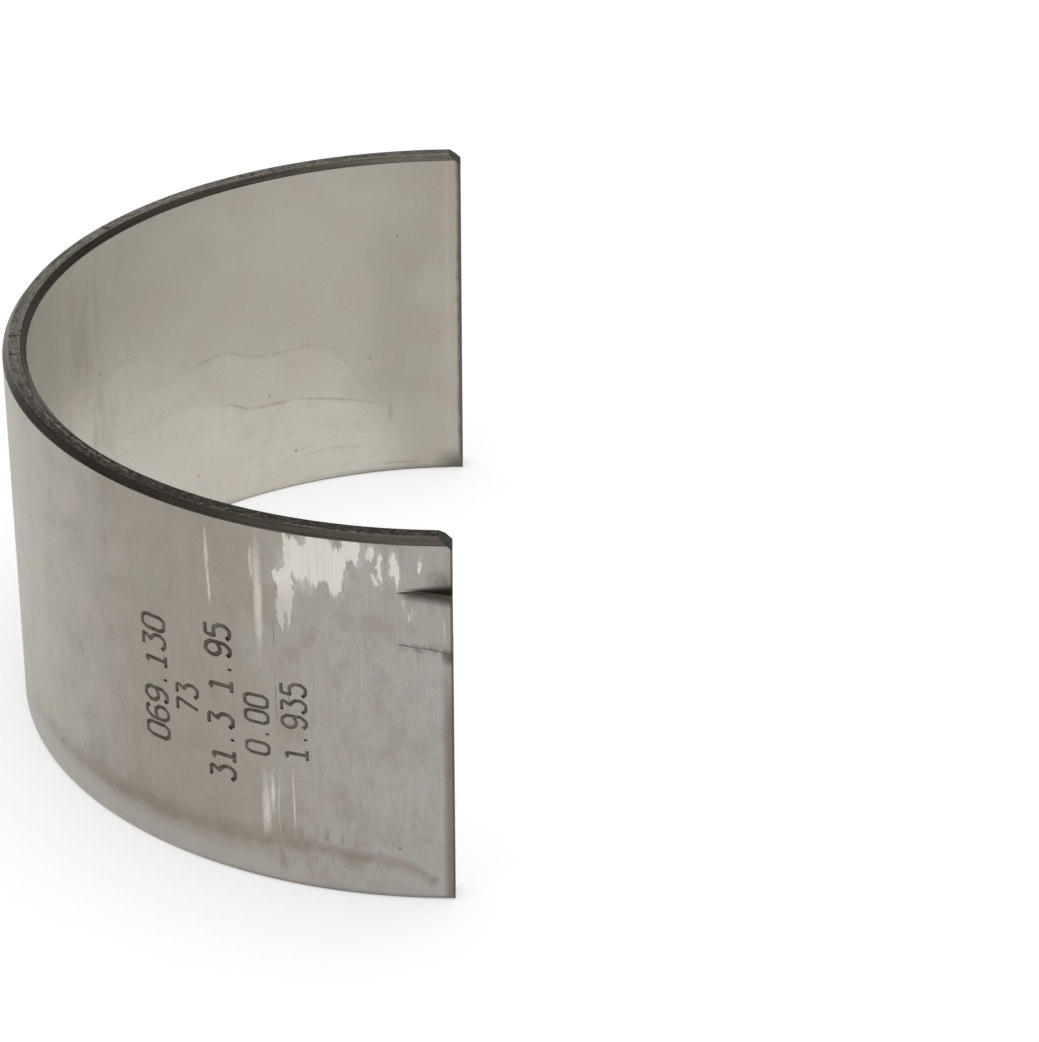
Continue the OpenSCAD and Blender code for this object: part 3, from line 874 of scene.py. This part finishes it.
def add_tang(shell, materials):
    """Presses the tang out of the near limb, and its recess out of the bore."""
    def on_back(x):
        return Vector((x, -math.sqrt(BACK_R**2 - x**2), TANG_LOW_Z))

    upward = (0.0, 0.0, TANG_WIDTH)
    root = on_back(-TANG_LENGTH)
    tip = Vector((CRUSH - TANG_SETBACK, -BACK_R - TANG_RISE, TANG_LOW_Z))
    start = on_back(-TANG_LENGTH - TANG_ROOT_BLEND)
    ramp = root + (tip - root).normalized() * TANG_ROOT_BLEND
    shares = [step / TANG_BLEND_STEPS for step in range(TANG_BLEND_STEPS + 1)]
    outer = [start.lerp(root, share).lerp(root.lerp(ramp, share), share) for share in shares]
    outer.append(tip + (root - tip).normalized() * TANG_END_ROUND)
    outer.append(tip + Vector((0.0, TANG_END_ROUND, 0.0)))
    inside = -(BACK_R - WALL / 2)
    plan = [*outer, Vector((tip.x, inside, TANG_LOW_Z)), Vector((start.x, inside, TANG_LOW_Z))]
    both = (materials["back"], materials["parting"])
    flap = prism("tang_flap", plan, upward, both, TANG_SIDE_ROUND, len(outer))
    combine(shell, flap, "UNION")

    slope = (tip.y - root.y) / (tip.x - root.x)
    left = root.x - OVERCUT
    right = CRUSH + OVERCUT
    floor = [(x, tip.y + WALL + slope * (x - tip.x), TANG_LOW_Z) for x in (left, right)]
    open_side = -BORE_R + 2 * WALL
    plan = [*floor, (right, open_side, TANG_LOW_Z), (left, open_side, TANG_LOW_Z)]
    both = (materials["bore"], materials["parting"])
    combine(shell, prism("tang_recess", plan, upward, both), "DIFFERENCE")


def cut_corners(shell, material):
    """Takes the corner off both parting faces at the fillet end."""
    reach = CORNER_CUT + OVERCUT
    side = -BACK_R - TANG_RISE - OVERCUT
    plan = (
        (CRUSH - reach, side, HALF_LENGTH + OVERCUT),
        (CRUSH + OVERCUT, side, HALF_LENGTH - reach),
        (CRUSH + OVERCUT, side, HALF_LENGTH + OVERCUT),
    )
    combine(shell, prism("corner_cut", plan, (0.0, -2 * side, 0.0), (material,)), "DIFFERENCE")


def stamp_numbers(shell, material):
    """Cuts the stamped numbers into the back, one layer of strokes after the other."""
    tree = groove_tree(material)
    for layer in range(2):
        strokes = number_strokes(layer)
        tool = grown("number_tool", tree, {
            "Strokes": strokes, "Back radius": BACK_R * MM, "Round": DIGIT_ROUND * MM,
            "Rise": GROOVE_RISE * MM, "Waver": GROOVE_WAVER * MM, "Sides": GROOVE_SIDES,
        })
        bpy.data.objects.remove(strokes)
        combine(shell, tool, "DIFFERENCE")


def dress_faces(shell, materials):
    """Gives each swept face the material of the surface that it belongs to."""
    mesh = shell.data
    for material in materials.values():
        if material.name not in mesh.materials:
            mesh.materials.append(material)
    slot = {role: mesh.materials.find(material.name) for role, material in materials.items()}
    count = len(mesh.polygons)
    centres = np.empty(count * 3)
    normals = np.empty(count * 3)
    indices = np.empty(count, dtype=np.int32)
    mesh.polygons.foreach_get("center", centres)
    mesh.polygons.foreach_get("normal", normals)
    mesh.polygons.foreach_get("material_index", indices)
    centres = centres.reshape(-1, 3) / MM
    normals = normals.reshape(-1, 3)
    outward = normals[:, 0] * centres[:, 0] + normals[:, 1] * centres[:, 1]
    swept = indices == slot["back"]
    level = np.abs(normals[:, 2]) > 0.25
    on_end = (normals[:, 0] > 0.7) & (centres[:, 0] > CRUSH - 2 * TANG_SETBACK)
    on_tang = centres[:, 1] < -BACK_R
    indices[swept & (outward < 0)] = slot["bore"]
    indices[swept & level & ~on_tang] = slot["rim"]
    indices[swept & on_end] = slot["parting"]
    mesh.polygons.foreach_set("material_index", indices)


def finished_shell():
    """The whole bearing shell as one closed mesh."""
    materials = {
        "back": steel_back(), "bore": bore_lining(), "rim": rim_edge(),
        "parting": parting_face(), "stamp": stamp_groove(),
    }
    section = section_curve()
    shell = grown(PIECE, shell_tree(materials["back"]), {
        "Section": section, "Arc steps": ARC_STEPS,
        "Back radius": BACK_R * MM, "Half length": HALF_LENGTH * MM, "Rim height": RIM_HEIGHT * MM,
        "Wall": WALL * MM, "Bore offset": BORE_OFFSET * MM, "Crush height": CRUSH * MM,
        "Relief width": RELIEF_WIDTH * MM, "Relief depth": RELIEF_DEPTH * MM, "Nick depth": NICK_DEPTH * MM,
    })
    bpy.data.objects.remove(section)
    add_tang(shell, materials)
    cut_corners(shell, materials["rim"])
    stamp_numbers(shell, materials["stamp"])
    dress_faces(shell, materials)
    shell.data.shade_smooth()
    shell.data.set_sharp_from_angle(angle=math.radians(SHARP_ANGLE))
    return shell


def background_rays(kit):
    """One for the rays that show the background: those of the camera, and those mirrored or passed on."""
    path = kit.add("ShaderNodeLightPath").outputs
    return kit.most(path["Is Camera Ray"], path["Is Glossy Ray"], path["Is Transmission Ray"])


def pale_floor():
    """Wide pale floor under the shell, white to the camera and to mirrored rays, that keeps the shadow."""
    half = FLOOR_HALF
    corners = [(-half, -half, 0), (half, -half, 0), (half, half, 0), (-half, half, 0)]
    mesh = bpy.data.meshes.new("floor")
    mesh.from_pydata(corners, [], [(0, 1, 2, 3)])
    floor = bpy.data.objects.new("floor", mesh)
    floor.location.z = low_corner.z - 0.01 * MM
    bpy.context.scene.collection.objects.link(floor)
    material = bpy.data.materials.new("pale_floor")
    material.use_nodes = True
    material.node_tree.nodes.clear()
    kit = Nodes(material.node_tree)
    matt = kit.add("ShaderNodeBsdfDiffuse", {"Color": FLOOR_SHADE}).outputs[0]
    glow = kit.add("ShaderNodeEmission", {"Strength": kit.times(background_rays(kit), FLOOR_GLOW)}).outputs[0]
    surface = kit.add("ShaderNodeAddShader", {0: matt, 1: glow}).outputs[0]
    kit.add("ShaderNodeOutputMaterial", {"Surface": surface})
    mesh.materials.append(material)


def studio_world():
    """White horizon, dim walls, and a paler front and ceiling."""
    world = bpy.data.worlds.new("studio")
    world.use_nodes = True
    world.node_tree.nodes.clear()
    bpy.context.scene.world = world
    kit = Nodes(world.node_tree)
    _, y, z = kit.split(kit.add("ShaderNodeTexCoord").outputs["Generated"])
    walls = kit.ramp(z, 0.06, 0.24, 1.0, 0.18)
    front = kit.times(kit.ramp(y, -0.6, 0.1, 1.0, 0.0), kit.ramp(z, 0.0, 0.3))
    ceiling = kit.ramp(z, 0.6, 0.95)
    shown = kit.plus(walls, kit.times(kit.most(front, ceiling), 0.4))
    strength = kit.between(WORLD_LIGHT, shown, background_rays(kit))
    inputs = {"Color": (1.0, 1.0, 1.0, 1.0), "Strength": strength}
    background = kit.add("ShaderNodeBackground", inputs).outputs[0]
    kit.add("ShaderNodeOutputWorld", {"Surface": background})


def top_softbox():
    """Large soft lamp overhead."""
    lamp = bpy.data.lights.new("top_softbox", "AREA")
    lamp.shape = "SQUARE"
    lamp.size = LAMP_SIZE
    lamp.energy = LAMP_WATTS
    holder = bpy.data.objects.new("top_softbox", lamp)
    holder.location = LAMP_PLACE
    holder.rotation_mode = "QUATERNION"
    holder.rotation_quaternion = (-Vector(LAMP_PLACE)).to_track_quat("-Z", "Y")
    bpy.context.scene.collection.objects.link(holder)


def photo_camera():
    """Camera at the photograph's place, angle and focal length."""
    pitch = math.radians(CAMERA_PITCH)
    yaw = math.radians(CAMERA_YAW)
    forward = Vector((math.sin(yaw) * math.cos(pitch), math.cos(yaw) * math.cos(pitch), -math.sin(pitch)))
    data = bpy.data.cameras.new("photo_camera")
    data.sensor_width = SENSOR_WIDTH
    data.lens = FOCAL_PIXELS * SENSOR_WIDTH / FRAME_LONG_SIDE
    data.clip_start = 0.01
    camera = bpy.data.objects.new("photo_camera", data)
    camera.location = (Vector(CAMERA_AIM) - forward * CAMERA_DISTANCE) * MM
    camera.rotation_mode = "QUATERNION"
    camera.rotation_quaternion = forward.to_track_quat("-Z", "Y")
    bpy.context.scene.collection.objects.link(camera)
    bpy.context.scene.camera = camera


bpy.context.scene.view_settings.view_transform = "Standard"
photo_camera()
pale_floor()
studio_world()
top_softbox()
shell = finished_shell()
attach(shell, "root")
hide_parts(NODE)
